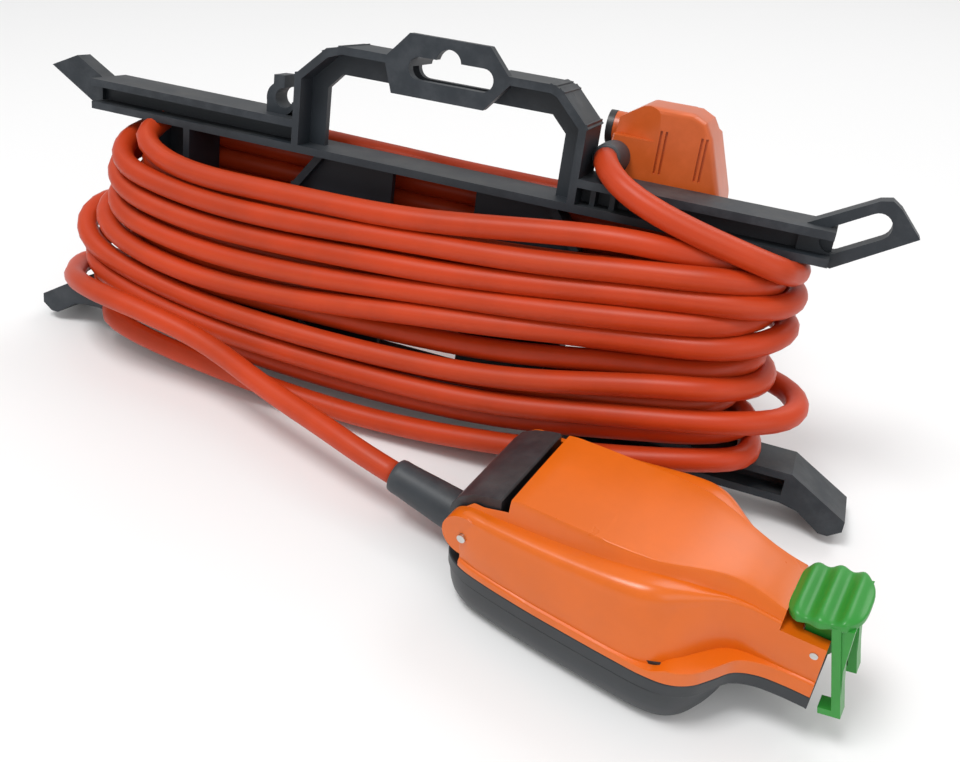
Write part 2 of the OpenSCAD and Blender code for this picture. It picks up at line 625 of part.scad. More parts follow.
module cover_seal() color([0.1, 0.1, 0.11]) difference() {
    translate([0, 0, lip_z + 3.2]) linear_extrude(1.2) cover_clip() body_clip() body_outline(cover_wall + 0.2);
    translate([0, 0, lip_z]) linear_extrude(6) cover_clip() body_clip() body_outline(cover_wall + 1.6);
    translate([-60, -40, lip_z]) cube([37, 80, 6]);
}

module neck_seal_lower() color([0.12, 0.12, 0.13]) difference() {
    translate([50, 0, lip_z + 5]) rotate([0, 90, 0]) cylinder(d = 11.96, h = 10);
    translate([49, 0, lip_z + 5]) rotate([0, 90, 0]) cylinder(d = 6.4, h = 12);
    translate([45, -10, lip_z + 5]) cube([20, 20, 20]);
}

module neck_seal_upper() color([0.12, 0.12, 0.13]) difference() {
    translate([50.2, -8, lip_z + 5.4]) cube([9.4, 16, 14]);
    translate([49, 0, lip_z + 5]) rotate([0, 90, 0]) cylinder(d = 6.4, h = 12);
}

module hinge_pin() color([0.75, 0.75, 0.74])
    translate([hinge_x, 29, hinge_z]) rotate([90, 0, 0]) cylinder(d = hinge_pin_d, h = 58);

module latch_pin() color([0.75, 0.75, 0.74])
    translate([latch_x, 15, latch_z]) rotate([90, 0, 0]) cylinder(d = latch_pin_d, h = 30);

// Latch drawn hooked, then swung out: finger pad above the neck, hook leg down past the end of the tray
module latch() color([0.24, 0.61, 0.27])
    translate([latch_x, 0, latch_z]) rotate([0, -latch_rest, 0]) difference() {
        union() {
            rotate([90, 0, 0]) translate([0, 0, -9.4]) cylinder(r = 4.4, h = 18.8);
            translate([-4.4, -9.4, 0]) cube([8.8, 18.8, 8.5]);
            translate([-8, -13, 8]) cube([20, 26, 3.6]);
            for (x = [-5.5, 1, 7.5]) translate([x, 11.5, 11.4]) rotate([90, 0, 0]) cylinder(r = 1.7, h = 23);
            for (y = [-12.7, 7.2]) {
                translate([4.2, y, -24.5]) cube([2.8, 5.5, 33]);
                translate([0.2, y, -24.5]) cube([5, 5.5, 2.6]);
            }
        }
        rotate([90, 0, 0]) translate([0, 0, -15]) cylinder(d = latch_pin_d + 0.06, h = 30);
    }

carrier_frame();
cord_winding();
cord_to_socket();
cord_to_plug();
plug_shell();
plug_pin_plate();
plug_earth_pin();
plug_line_pins();
plug_pin_sleeves();
plug_fuse();
plug_fuse_clips();
plug_fuse_carrier();
plug_cord_grip();
plug_grip_screws();
plug_boot();
plug_collar_ring();
plug_shell_screw();
plug_cores();
socket_tray();
socket_underside();
underside_screws();
tray_gasket();
socket_face();
face_screws();
contact_block();
live_contact();
neutral_contact();
earth_contact();
terminal_screws();
shutter();
shutter_spring();
cord_clamp();
clamp_screws();
socket_boot();
live_core();
neutral_core();
earth_core();
weather_cover();
cover_seal();
neck_seal_lower();
neck_seal_upper();
hinge_pin();
latch();
latch_pin();
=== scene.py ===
"""Outdoor extension lead: flex wound on a carrier, trailing socket with a weather cover, parked plug."""

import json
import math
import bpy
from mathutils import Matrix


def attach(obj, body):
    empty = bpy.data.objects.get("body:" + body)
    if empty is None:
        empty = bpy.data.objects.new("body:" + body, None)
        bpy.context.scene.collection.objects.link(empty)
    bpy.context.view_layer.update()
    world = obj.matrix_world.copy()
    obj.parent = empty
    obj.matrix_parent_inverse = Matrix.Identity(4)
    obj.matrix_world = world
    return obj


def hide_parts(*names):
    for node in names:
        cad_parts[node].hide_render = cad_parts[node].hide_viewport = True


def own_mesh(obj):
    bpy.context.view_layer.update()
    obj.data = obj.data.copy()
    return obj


bl_info = {
    "name": "Outdoor extension lead",
    "version": (1, 0, 0),
    "blender": (4, 5, 0),
    "location": "3D View > Sidebar > Lead",
    "description": "Builds the carrier, flex, plug and trailing socket round a packed frame",
    "category": "Object",
}

import bmesh
import bpy
import numpy as np
from mathutils import Matrix, Vector

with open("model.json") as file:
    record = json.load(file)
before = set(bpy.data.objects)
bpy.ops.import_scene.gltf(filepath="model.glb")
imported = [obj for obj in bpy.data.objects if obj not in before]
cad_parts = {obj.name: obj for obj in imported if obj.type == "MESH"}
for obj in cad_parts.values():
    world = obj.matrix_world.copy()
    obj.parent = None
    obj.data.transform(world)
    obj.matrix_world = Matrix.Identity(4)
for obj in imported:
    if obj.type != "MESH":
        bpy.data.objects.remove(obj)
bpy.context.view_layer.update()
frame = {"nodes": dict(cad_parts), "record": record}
NODES = frame["nodes"]

MM = 0.001
# How the carrier stands: turned about the vertical, leaned back, and lifted so that its feet touch the floor
CARRIER_TURN = 9
CARRIER_LEAN = 12
CARRIER_LIFT = 2.287
CARRIER = (
    Matrix.Translation((-0.118, 0.059, CARRIER_LIFT * MM))
    @ Matrix.Rotation(math.radians(CARRIER_TURN), 4, "Z")
    @ Matrix.Rotation(math.radians(-CARRIER_LEAN), 4, "X")
)

# Free flex from the socket's boot to the winding, in millimetres along the frame's axes
SOCKET_ROUTE = [
    (-80.3, 0, 19), (-97, 0.5, 21.5), (-116, 3, 23.5), (-136, 6, 24.5), (-157, 9, 26.5), (-176, 12, 29),
    (-192, 13, 31.5), (-206, 11.5, 34), (-219, 10, 36), (-232, 8.5, 37.5), (-245, 8.5, 37.5),
    (-257, 11.5, 36), (-268, 17, 33), (-277, 25, 30),
]
# Free flex from the winding over the upper bar to the plug's boot, in the carrier's millimetres
PLUG_ROUTE = [
    (146, -18, 95.5), (136, -21.5, 98), (122, -22, 101), (106, -21.5, 104.5), (92, -20.5, 108.5),
    (82, -18.5, 112), (75, -14, 115.5), (70.5, -7, 118), (68.5, 0.5, 118.5),
]
# One row per turn, from the socket's end: left end's x and z, front z at the five stations, right end's z
# and x, and the depth of the front strand
STATIONS = (-95, -48, 0, 48, 95)
REAR_STATIONS = (-110, -60, 0, 60, 110)
TURNS = [
    (-150, 16, 4, 1, 0, 5, 14, 26, 150, -25),
    (-158, 29, 12, 9, 9, 13, 22, 34, 150, -16),
    (-160, 44, 22, 19, 19, 22, 31, 44, 163, -25),
    (-145, 38, 24, 23, 25, 28, 34, 44, 141, -16),
    (-164, 57, 31, 29, 29, 33, 44, 56, 147, -25),
    (-143, 50, 36, 36, 37, 41, 50, 60, 148, -16),
    (-154, 62, 42, 43, 49, 57, 66, 74, 152, -25),
    (-141, 60, 47, 46, 48, 52, 58, 67, 139, -16),
    (-147, 71, 54, 54, 58, 63, 70, 79, 143, -25),
    (-139, 68, 57, 56, 58, 62, 67, 75, 137, -16),
    (-147, 82, 65, 65, 68, 70, 76, 86, 151, -25),
    (-138, 78, 67, 66, 67, 71, 76, 83, 138, -16),
    (-143, 91, 75, 75, 78, 81, 86, 92, 144, -25),
    (-135, 86, 77, 75, 77, 80, 84, 90, 137, -16),
    (-132, 93, 84, 85, 86, 92, 98, 94, 140, -24),
]


# ---------------------------------------------------------------- settings


class LEAD_PG_flex(bpy.types.PropertyGroup):
    diameter: bpy.props.FloatProperty(
        name="Diameter", description="Outer diameter of the flex", default=0.009, unit="LENGTH")
    colour: bpy.props.FloatVectorProperty(
        name="Colour", description="Sheath colour", subtype="COLOR", default=(0.50, 0.042, 0.006))
    roughness: bpy.props.FloatProperty(
        name="Roughness", description="Sheath roughness", default=0.42, subtype="FACTOR")
    spacing: bpy.props.FloatProperty(
        name="Ring spacing", description="Distance between the rings of the sheath", default=0.005,
        unit="LENGTH")


class LEAD_PG_plastics(bpy.types.PropertyGroup):
    carrier: bpy.props.FloatVectorProperty(
        name="Carrier", description="Carrier colour", subtype="COLOR", default=(0.013, 0.018, 0.024))
    base: bpy.props.FloatVectorProperty(
        name="Base", description="Socket base colour", subtype="COLOR", default=(0.017, 0.021, 0.025))
    cover: bpy.props.FloatVectorProperty(
        name="Cover", description="Weather cover colour", subtype="COLOR", default=(0.68, 0.125, 0.002))
    plug: bpy.props.FloatVectorProperty(
        name="Plug", description="Plug colour", subtype="COLOR", default=(0.58, 0.10, 0.012))
    latch: bpy.props.FloatVectorProperty(
        name="Latch", description="Latch colour", subtype="COLOR", default=(0.022, 0.26, 0.028))
    edge: bpy.props.FloatProperty(
        name="Edge radius", description="Radius on the carrier's moulded edges", default=0.0006,
        unit="LENGTH")


class LEAD_PG_stage(bpy.types.PropertyGroup):
    floor: bpy.props.FloatVectorProperty(
        name="Floor", description="Floor colour", subtype="COLOR", default=(0.86, 0.86, 0.86))
    lens: bpy.props.FloatProperty(name="Lens", description="Focal length", default=37.54, unit="CAMERA")


# ---------------------------------------------------------------- shader groups


def new_group(name, inputs, outputs):
    """A shader group with its sockets and nothing inside."""
    group = bpy.data.node_groups.new(name, "ShaderNodeTree")
    for label, kind, default in inputs:
        socket = group.interface.new_socket(name=label, in_out="INPUT", socket_type=kind)
        socket.default_value = default
    for label, kind in outputs:
        group.interface.new_socket(name=label, in_out="OUTPUT", socket_type=kind)
    return group


def math_node(tree, op, a, b=None, clamp=False):
    node = tree.nodes.new("ShaderNodeMath")
    node.operation = op
    node.use_clamp = clamp
    for slot, value in enumerate((a, b)):
        if value is None:
            continue
        if isinstance(value, (int, float)):
            node.inputs[slot].default_value = value
        else:
            tree.links.new(value, node.inputs[slot])
    return node.outputs[0]


def mix_colour(tree, factor, a, b):
    node = tree.nodes.new("ShaderNodeMix")
    node.data_type = "RGBA"
    node.blend_type = "MIX"
    for socket, value in ((node.inputs[0], factor), (node.inputs[6], a), (node.inputs[7], b)):
        if isinstance(value, (int, float)):
            socket.default_value = value
        elif isinstance(value, (tuple, list)):
            socket.default_value = (*value[:3], 1)
        else:
            tree.links.new(value, socket)
    return node.outputs[2]


def noise(tree, vector, scale, detail=4, rough=0.55):
    node = tree.nodes.new("ShaderNodeTexNoise")
    tree.links.new(vector, node.inputs["Vector"])
    if isinstance(scale, (int, float)):
        node.inputs["Scale"].default_value = scale
    else:
        tree.links.new(scale, node.inputs["Scale"])
    node.inputs["Detail"].default_value = detail
    node.inputs["Roughness"].default_value = rough
    return node.outputs["Fac"]


def ramp(tree, value, low, high):
    node = tree.nodes.new("ShaderNodeMapRange")
    node.interpolation_type = "SMOOTHSTEP"
    tree.links.new(value, node.inputs["Value"])
    node.inputs["From Min"].default_value = low
    node.inputs["From Max"].default_value = high
    return node.outputs["Result"]


def grain_group():
    """Fine spark-eroded grain of a mould, with a slow drift of tone."""
    outputs = [("Height", "NodeSocketFloat"), ("Tone", "NodeSocketFloat")]
    group = new_group("Moulded grain", [("Scale", "NodeSocketFloat", 900.0)], outputs)
    inside, outside = group.nodes.new("NodeGroupInput"), group.nodes.new("NodeGroupOutput")
    place = group.nodes.new("ShaderNodeTexCoord").outputs["Object"]
    fine = noise(group, place, inside.outputs["Scale"], 3, 0.6)
    slow = noise(group, place, 22, 5, 0.6)
    group.links.new(fine, outside.inputs["Height"])
    group.links.new(slow, outside.inputs["Tone"])
    return group


def wear_group():
    """Rubbed and slightly paler along convex edges, broken up by noise."""
    group = new_group("Rubbed edges", [("Reach", "NodeSocketFloat", 0.05)], [("Mask", "NodeSocketFloat")])
    inside, outside = group.nodes.new("NodeGroupInput"), group.nodes.new("NodeGroupOutput")
    convex = group.nodes.new("ShaderNodeNewGeometry").outputs["Pointiness"]
    over = math_node(group, "SUBTRACT", convex, 0.5)
    mask = math_node(group, "DIVIDE", over, inside.outputs["Reach"], clamp=True)
    place = group.nodes.new("ShaderNodeTexCoord").outputs["Object"]
    patchy = ramp(group, noise(group, place, 140, 4, 0.65), 0.35, 0.75)
    group.links.new(math_node(group, "MULTIPLY", mask, patchy), outside.inputs["Mask"])
    return group


def dust_group():
    """Light dust on faces that look upwards, thicker in blotches."""
    group = new_group("Settled dust", [("Amount", "NodeSocketFloat", 0.2)], [("Mask", "NodeSocketFloat")])
    inside, outside = group.nodes.new("NodeGroupInput"), group.nodes.new("NodeGroupOutput")
    normal = group.nodes.new("ShaderNodeNewGeometry").outputs["Normal"]
    split = group.nodes.new("ShaderNodeSeparateXYZ")
    group.links.new(normal, split.inputs[0])
    facing = ramp(group, split.outputs["Z"], 0.1, 1.0)
    place = group.nodes.new("ShaderNodeTexCoord").outputs["Object"]
    blotch = ramp(group, noise(group, place, 60, 6, 0.7), 0.35, 0.8)
    both = math_node(group, "MULTIPLY", facing, blotch)
    group.links.new(math_node(group, "MULTIPLY", both, inside.outputs["Amount"]), outside.inputs["Mask"])
    return group


def use_group(tree, name, **values):
    node = tree.nodes.new("ShaderNodeGroup")
    node.node_tree = bpy.data.node_groups.get(name) or GROUPS[name]()
    for label, value in values.items():
        node.inputs[label].default_value = value
    return node


GROUPS = {"Moulded grain": grain_group, "Rubbed edges": wear_group, "Settled dust": dust_group}


def moulded(
    name, colour, roughness, grain=900.0, depth=0.04, tone=0.12, wear=0.35, dust=0.12, coat=0.0, metal=0.0,
):
    """A moulded or pressed finish: base colour with drift, grain in the bump, rubbed edges and dust."""
    material = bpy.data.materials.get(name)
    if material:
        return material
    material = bpy.data.materials.new(name)
    material.use_nodes = True
    tree = material.node_tree
    shader = tree.nodes["Principled BSDF"]
    shader.inputs["Metallic"].default_value = metal
    shader.inputs["Coat Weight"].default_value = coat
    shader.inputs["Coat Roughness"].default_value = 0.18
    surface = use_group(tree, "Moulded grain", Scale=grain)
    dark = tuple(c * (1 - tone) for c in colour)
    light = tuple(min(1, c * (1 + tone)) for c in colour)
    body = mix_colour(tree, ramp(tree, surface.outputs["Tone"], 0.35, 0.65), dark, light)
    rubbed = use_group(tree, "Rubbed edges").outputs["Mask"]
    pale = tuple(min(1, c * 1.5 + 0.03) for c in colour)
    body = mix_colour(tree, math_node(tree, "MULTIPLY", rubbed, wear), body, pale)
    settled = use_group(tree, "Settled dust", Amount=dust).outputs["Mask"]
    body = mix_colour(tree, settled, body, (0.42, 0.38, 0.33))
    tree.links.new(body, shader.inputs["Base Color"])
    drift = math_node(tree, "MULTIPLY", surface.outputs["Tone"], 0.18)
    rough = math_node(tree, "ADD", drift, roughness - 0.09)
    rough = math_node(tree, "ADD", rough, math_node(tree, "MULTIPLY", settled, 0.4), clamp=True)
    tree.links.new(rough, shader.inputs["Roughness"])
    bump = tree.nodes.new("ShaderNodeBump")
    bump.inputs["Strength"].default_value = 0.6
    bump.inputs["Distance"].default_value = depth * MM
    tree.links.new(surface.outputs["Height"], bump.inputs["Height"])
    tree.links.new(bump.outputs["Normal"], shader.inputs["Normal"])
    return material


def base_plastic(settings):
    return moulded(
        "Base plastic", tuple(settings.base), 0.4, grain=1200, depth=0.03, tone=0.2, wear=0.4, dust=0.08)


def boot_rubber():
    return moulded(
        "Boot rubber", (0.03, 0.036, 0.043), 0.5, grain=1100, depth=0.03, tone=0.15, wear=0.3, dust=0.1)


def zinc_plate():
    return moulded("Zinc plate", (0.55, 0.55, 0.53), 0.3, grain=1800, depth=0.01, metal=1.0)


def sheath_material(settings):
    """Extruded sheath: long faint draw lines, scuffs and a soft sheen."""
    material = bpy.data.materials.new("Flex sheath")
    material.use_nodes = True
    tree = material.node_tree
    shader = tree.nodes["Principled BSDF"]
    run = tree.nodes.new("ShaderNodeAttribute")
    run.attribute_name = "run"
    stretch = tree.nodes.new("ShaderNodeVectorMath")
    stretch.operation = "MULTIPLY"
    stretch.inputs[1].default_value = (6, 420, 420)
    tree.links.new(run.outputs["Vector"], stretch.inputs[0])
    lines = noise(tree, stretch.outputs["Vector"], 1.0, 3, 0.6)
    place = tree.nodes.new("ShaderNodeTexCoord").outputs["Object"]
    patches = noise(tree, place, 18, 4, 0.6)
    scuffs = ramp(tree, noise(tree, place, 95, 6, 0.75), 0.62, 0.8)
    colour = tuple(settings.colour)
    dark = tuple(c * 0.86 for c in colour)
    light = tuple(min(1, c * 1.1) for c in colour)
    body = mix_colour(tree, ramp(tree, patches, 0.3, 0.7), dark, light)
    drawn = math_node(tree, "MULTIPLY", ramp(tree, lines, 0.45, 0.75), 0.25)
    body = mix_colour(tree, drawn, body, (0.60, 0.085, 0.025))
    body = mix_colour(tree, math_node(tree, "MULTIPLY", scuffs, 0.35), body, (0.30, 0.06, 0.03))
    settled = use_group(tree, "Settled dust", Amount=0.05).outputs["Mask"]
    body = mix_colour(tree, settled, body, (0.42, 0.2, 0.12))
    tree.links.new(body, shader.inputs["Base Color"])
    rough = math_node(tree, "ADD", math_node(tree, "MULTIPLY", lines, 0.16), settings.roughness - 0.08)
    rough = math_node(tree, "ADD", rough, math_node(tree, "MULTIPLY", scuffs, 0.2))
    tree.links.new(rough, shader.inputs["Roughness"])
    shader.inputs["Specular IOR Level"].default_value = 0.32
    bump = tree.nodes.new("ShaderNodeBump")
    bump.inputs["Strength"].default_value = 0.35
    bump.inputs["Distance"].default_value = 0.00012
    tree.links.new(lines, bump.inputs["Height"])
    tree.links.new(bump.outputs["Normal"], shader.inputs["Normal"])
    return material


# ---------------------------------------------------------------- mesh helpers


def object_from(name, points, faces, material=None):
    mesh = bpy.data.meshes.new(name)
    mesh.from_pydata([tuple(p) for p in points], [], faces)
    mesh.update()
    bm = bmesh.new()
    bm.from_mesh(mesh)
    bmesh.ops.recalc_face_normals(bm, faces=bm.faces)
    bm.to_mesh(mesh)
    bm.free()
    mesh.shade_smooth()
    thing = bpy.data.objects.new(name, mesh)
    bpy.context.scene.collection.objects.link(thing)
    if material:
        mesh.materials.append(material)
    return thing


def loft(rings):
    """Vertices and faces of a closed skin through equal rings of points."""
    n = len(rings[0])
    points = [p for ring in rings for p in ring]
    faces = []
    for i in range(len(rings) - 1):
        for k in range(n):
            m = (k + 1) % n
            faces.append((i * n + k, i * n + m, (i + 1) * n + m, (i + 1) * n + k))
    faces.append(tuple(range(n))[::-1])
    faces.append(tuple(range((len(rings) - 1) * n, len(rings) * n)))
    return points, faces


def spline(points, per=8):
    """Uniform Catmull-Rom line through the points, with a number of steps per stretch."""
    p = [Vector(q) for q in points]
    end = len(p) - 1
    out = []
    for i in range(end):
        a, b, c, d = (p[min(max(i + k, 0), end)] for k in (-1, 0, 1, 2))
        for s in range(per):
            t = s / per
            square = (2 * a - 5 * b + 4 * c - d) * t * t
            cube = (3 * b - a - 3 * c + d) * t ** 3
            out.append(0.5 * ((2 * b) + (c - a) * t + square + cube))
    out.append(p[-1])
    return out


def circle(sides):
    """Angles of a full turn in equal steps."""
    return [2 * math.pi * k / sides for k in range(sides)]


def prism(name, outline, low, high):
    """A flat outline in X and Y raised from low to high, all in millimetres."""
    rings = [[(x * MM, y * MM, z * MM) for x, y in outline] for z in (low, high)]
    return object_from(name, *loft(rings))


def rod(name, start, end, radius, sides=48):
    """A plain cylinder between two points, in millimetres."""
    a, b = Vector(start) * MM, Vector(end) * MM
    axis = (b - a).normalized()
    side = axis.orthogonal().normalized()
    up = axis.cross(side)
    arms = [(side * math.cos(t) + up * math.sin(t)) * radius * MM for t in circle(sides)]
    rings = [[p + arm for arm in arms] for p in (a, b)]
    return object_from(name, *loft(rings))


def cross_rod(name, x, z, reach, radius):
    """A cylinder across the long axis, as far to one side as to the other, in millimetres."""
    return rod(name, (x, -reach, z), (x, reach, z), radius)


def box(name, low, high):
    """A plain block between two corners in millimetres."""
    outline = [(low[0], low[1]), (high[0], low[1]), (high[0], high[1]), (low[0], high[1])]
    return prism(name, outline, low[2], high[2])


def carve(thing, tool, operation="DIFFERENCE"):
    """Cuts a thing by a tool, joins or intersects the two, and removes the tool."""
    cut = thing.modifiers.new("cut", "BOOLEAN")
    cut.operation = operation
    cut.solver = "EXACT"
    cut.object = tool
    bpy.context.view_layer.update()
    depsgraph = bpy.context.evaluated_depsgraph_get()
    mesh = bpy.data.meshes.new_from_object(thing.evaluated_get(depsgraph))
    thing.modifiers.remove(cut)
    old = thing.data
    thing.data = mesh
    mesh.name = old.name
    bpy.data.meshes.remove(old)
    spent = tool.data
    bpy.data.objects.remove(tool)
    bpy.data.meshes.remove(spent)


def soften(thing, width, segments=3, angle=32):
    """Rounds the edges that turn more than an angle, and smooths the rest."""
    bevel = thing.modifiers.new("round", "BEVEL")
    bevel.width = width
    bevel.segments = segments
    bevel.limit_method = "ANGLE"
    bevel.angle_limit = math.radians(angle)
    bevel.use_clamp_overlap = True
    bevel.harden_normals = False
    thing.data.shade_smooth()
    normals = thing.modifiers.new("normals", "WEIGHTED_NORMAL")
    normals.keep_sharp = True
    normals.weight = 60


def cad_copy(name, node, material, width=0.0, segments=2, angle=32):
    """A rounded copy of a frame piece."""
    mesh = NODES[node].data.copy()
    mesh.name = name
    bm = bmesh.new()
    bm.from_mesh(mesh)
    bmesh.ops.remove_doubles(bm, verts=bm.verts, dist=2e-6)
    bmesh.ops.dissolve_limit(bm, angle_limit=math.radians(1.0), verts=bm.verts, edges=bm.edges)
    for edge in bm.edges:
        edge.smooth = True
    bm.to_mesh(mesh)
    bm.free()
    if "custom_normal" in mesh.attributes:
        mesh.attributes.remove(mesh.attributes["custom_normal"])
    thing = bpy.data.objects.new(name, mesh)
    bpy.context.scene.collection.objects.link(thing)
    mesh.materials.clear()
    mesh.materials.append(material)
    mesh.shade_smooth()
    if width:
        soften(thing, width, segments, angle)
    return thing


def settle(thing, body, slot, *nodes):
    """Parents a finished piece to its body and hides the frame pieces it stands for. The slot is not used."""
    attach(thing, body)
    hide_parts(*nodes)


def dress(node, material):
    """Gives a frame piece that stays in view its finish."""
    data = NODES[node].data
    data.materials.clear()
    data.materials.append(material)


# ---------------------------------------------------------------- stage


class LEAD_OT_stage(bpy.types.Operator):
    """Camera, floor and soft studio light"""

    bl_idname = "lead.stage"
    bl_label = "Stage"

    def execute(self, context):
        scene = context.scene
        settings = scene.lead_stage
        data = bpy.data.cameras.new("Camera")
        data.sensor_width = 36
        data.lens = settings.lens
        data.clip_start = 0.01
        camera = bpy.data.objects.new("Camera", data)
        scene.collection.objects.link(camera)
        right = Vector((0.8557, 0.5147, 0.0540))
        up = Vector((-0.3317, 0.4653, 0.8206))
        forward = Vector((-0.3972, 0.7201, -0.5689))
        turn = Matrix((right, up, -forward)).transposed()
        stand = Matrix.Translation((0.0799, -0.2331, 0.2584))
        camera.matrix_world = stand @ turn.to_quaternion().to_matrix().to_4x4()
        scene.camera = camera

        floor = object_from("stage_floor", [(-4, -4, 0), (4, -4, 0), (4, 4, 0), (-4, 4, 0)], [(0, 1, 2, 3)])
        paint = bpy.data.materials.new("Floor")
        paint.use_nodes = True
        shader = paint.node_tree.nodes["Principled BSDF"]
        shader.inputs["Base Color"].default_value = (*settings.floor, 1)
        shader.inputs["Roughness"].default_value = 0.9
        floor.data.materials.append(paint)

        world = bpy.data.worlds.new("Studio")
        scene.world = world
        world.use_nodes = True
        sky = world.node_tree.nodes["Background"]
        sky.inputs["Color"].default_value = (1, 1, 1, 1)
        sky.inputs["Strength"].default_value = 0.62
        for name, place, size, power in (
            ("key", (-0.28, -0.38, 1.3), 0.45, 9.5),
            ("fill", (0.95, -0.55, 0.7), 0.8, 2.5),
            ("back", (0.15, 1.0, 1.1), 0.7, 4.0),
        ):
            lamp = bpy.data.lights.new(name, "AREA")
            lamp.size = size
            lamp.energy = power
            light = bpy.data.objects.new(name, lamp)
            light.location = place
            light.rotation_mode = "QUATERNION"
            light.rotation_quaternion = (Vector((-0.08, 0.04, 0.05)) - Vector(place)).to_track_quat("-Z", "Y")
            scene.collection.objects.link(light)
        scene.view_settings.view_transform = "Standard"
        return {"FINISHED"}


# ---------------------------------------------------------------- flex


def rear_depth(turn):
    """Depth of a turn's strand behind the carrier. The turns alternate between two layers."""
    return 16 if turn % 2 else 25


def winding_points():
    """Control points of the whole flex, from the socket's boot to the plug, in the carrier's millimetres."""
    back = CARRIER.inverted()
    start = [back @ (Vector(p) * MM) / MM for p in SOCKET_ROUTE]
    points = [tuple(p) for p in start]
    points += [(-177, 0, 24), (-172, 12, 25), (-158, 19, 26)]
    lead_z = 27
    for k, (xl, zl, z1, z2, z3, z4, z5, zr, xr, depth) in enumerate(TURNS):
        rear = rear_depth(k)
        for x in REAR_STATIONS:
            share = (x + 130) / 260
            sway = 2.0 * math.sin(k * 2.3 + x * 0.03)
            points.append((x, rear, lead_z + (zr - lead_z) * share + sway))
        half = (rear - depth) / 2
        middle = (rear + depth) / 2
        reach = xr - 4
        for angle in (60, 20, -20, -60):
            a = math.radians(angle)
            x = reach - 20 + 20 * math.cos(a) + 4 * math.cos(a)
            points.append((x, middle + half * math.sin(a), zr - 1.5 + angle * 0.02))
        for x, z in zip(STATIONS[::-1], (z5, z4, z3, z2, z1)):
            points.append((x, depth + 0.8 * math.sin(k * 1.7 + x * 0.05), z))
        next_rear = rear_depth(k + 1) if k < len(TURNS) - 1 else 18
        half = (next_rear - depth) / 2
        middle = (next_rear + depth) / 2
        fall = z1 - zl
        for angle in (-60, -20, 20, 60):
            a = math.radians(angle)
            lift = (angle + 60) / 120
            z = zl + fall * max(0, 0.55 - lift) + 3 * lift
            points.append((xl + 22 - 22 * math.cos(a), middle + half * math.sin(a), z))
        lead_z = zl + 3
    for x in REAR_STATIONS:
        points.append((x, 16.5, lead_z + (92 - lead_z) * (x + 130) / 260))
    points += [(138, 13, 92), (150, 2, 92)]
    points += PLUG_ROUTE
    return points, len(start), len(PLUG_ROUTE)


def resample(points, step):
    """Points an equal step apart along a line."""
    p = np.array(points, dtype=float)
    run = np.concatenate([[0], np.cumsum(np.linalg.norm(np.diff(p, axis=0), axis=1))])
    count = max(2, int(round(run[-1] / step)) + 1)
    at = np.linspace(0, run[-1], count)
    return np.stack([np.interp(at, run, p[:, k]) for k in range(3)], axis=1), run[-1]


# What the turns rest on, in the carrier's millimetres: half thickness and half length of its middle, top and
# half length of its foot bar, and underside and half length of its upper bar
CORE_HALF, CORE_END = 11.3, 127
FOOT_TOP, FOOT_END = 24, 186
BAR_UNDER, BAR_END = 94, 160
# Strengths of one round of relaxing: evening out the bends, staying near the start, and parting two strands
EVEN, STAY, PART = 0.30, 0.02, 0.42
TOUCH = 1.005
NEIGHBOURS = 7


def close_pairs(p, diameter):
    """Pairs of points that lie within a diameter along x and aren't neighbours on the flex."""
    n = len(p)
    order = np.argsort(p[:, 0])
    sorted_x = p[order, 0]
    upper = np.searchsorted(sorted_x, sorted_x + diameter, side="right")
    pairs = np.array([(order[i], order[j]) for i in range(n) for j in range(i + 1, min(upper[i], n))])
    return pairs[np.abs(pairs[:, 0] - pairs[:, 1]) > NEIGHBOURS]


def relax(points, diameter, pinned, rounds=90):
    """Pushes the turns apart until they rest on each other, the carrier and the floor."""
    p = points.copy()
    n = len(p)
    free = np.ones(n)
    free[: pinned[0]] = 0
    free[n - pinned[1]:] = 0
    wall = CORE_HALF + diameter / 2
    clear = diameter / 2 + 0.2
    lean = math.radians(CARRIER_LEAN)
    for r in range(rounds):
        move = np.zeros_like(p)
        mid = (np.roll(p, 1, axis=0) + np.roll(p, -1, axis=0)) / 2
        move[1:-1] += EVEN * (mid - p)[1:-1]
        move += STAY * (points - p)
        p = p + move * free[:, None]
        if r % 2 == 0:
            pairs = close_pairs(p, diameter)
        gap = p[pairs[:, 0]] - p[pairs[:, 1]]
        far = np.linalg.norm(gap, axis=1)
        near = (far < diameter * TOUCH) & (far > 1e-6)
        push = gap[near] / far[near][:, None] * ((diameter * TOUCH - far[near]) * PART)[:, None]
        shift = np.zeros_like(p)
        hits = np.zeros(n)
        for side, way in ((0, 1), (1, -1)):
            np.add.at(shift, pairs[near, side], way * push)
        for side in (0, 1):
            np.add.at(hits, pairs[near, side], 1)
        shift /= np.maximum(1, hits * 0.6)[:, None]
        p = p + shift * free[:, None]
        inside = (np.abs(p[:, 0]) < CORE_END) & (np.abs(p[:, 1]) < wall) & (free > 0)
        p[inside, 1] = np.where(p[inside, 1] >= 0, wall, -wall)
        low = (np.abs(p[:, 1]) < wall) & (p[:, 2] < FOOT_TOP) & (np.abs(p[:, 0]) < FOOT_END) & (free > 0)
        p[low, 1] = np.where(p[low, 1] >= 0, wall, -wall)
        roof = (np.abs(p[:, 1]) < wall) & (p[:, 2] > BAR_UNDER) & (free > 0) & (np.abs(p[:, 0]) < BAR_END)
        p[roof, 2] = BAR_UNDER
        flat = np.sin(lean) * -p[:, 1] + np.cos(lean) * p[:, 2] + CARRIER_LIFT
        sunk = (flat < clear) & (free > 0)
        p[sunk, 2] += clear - flat[sunk]
    return p


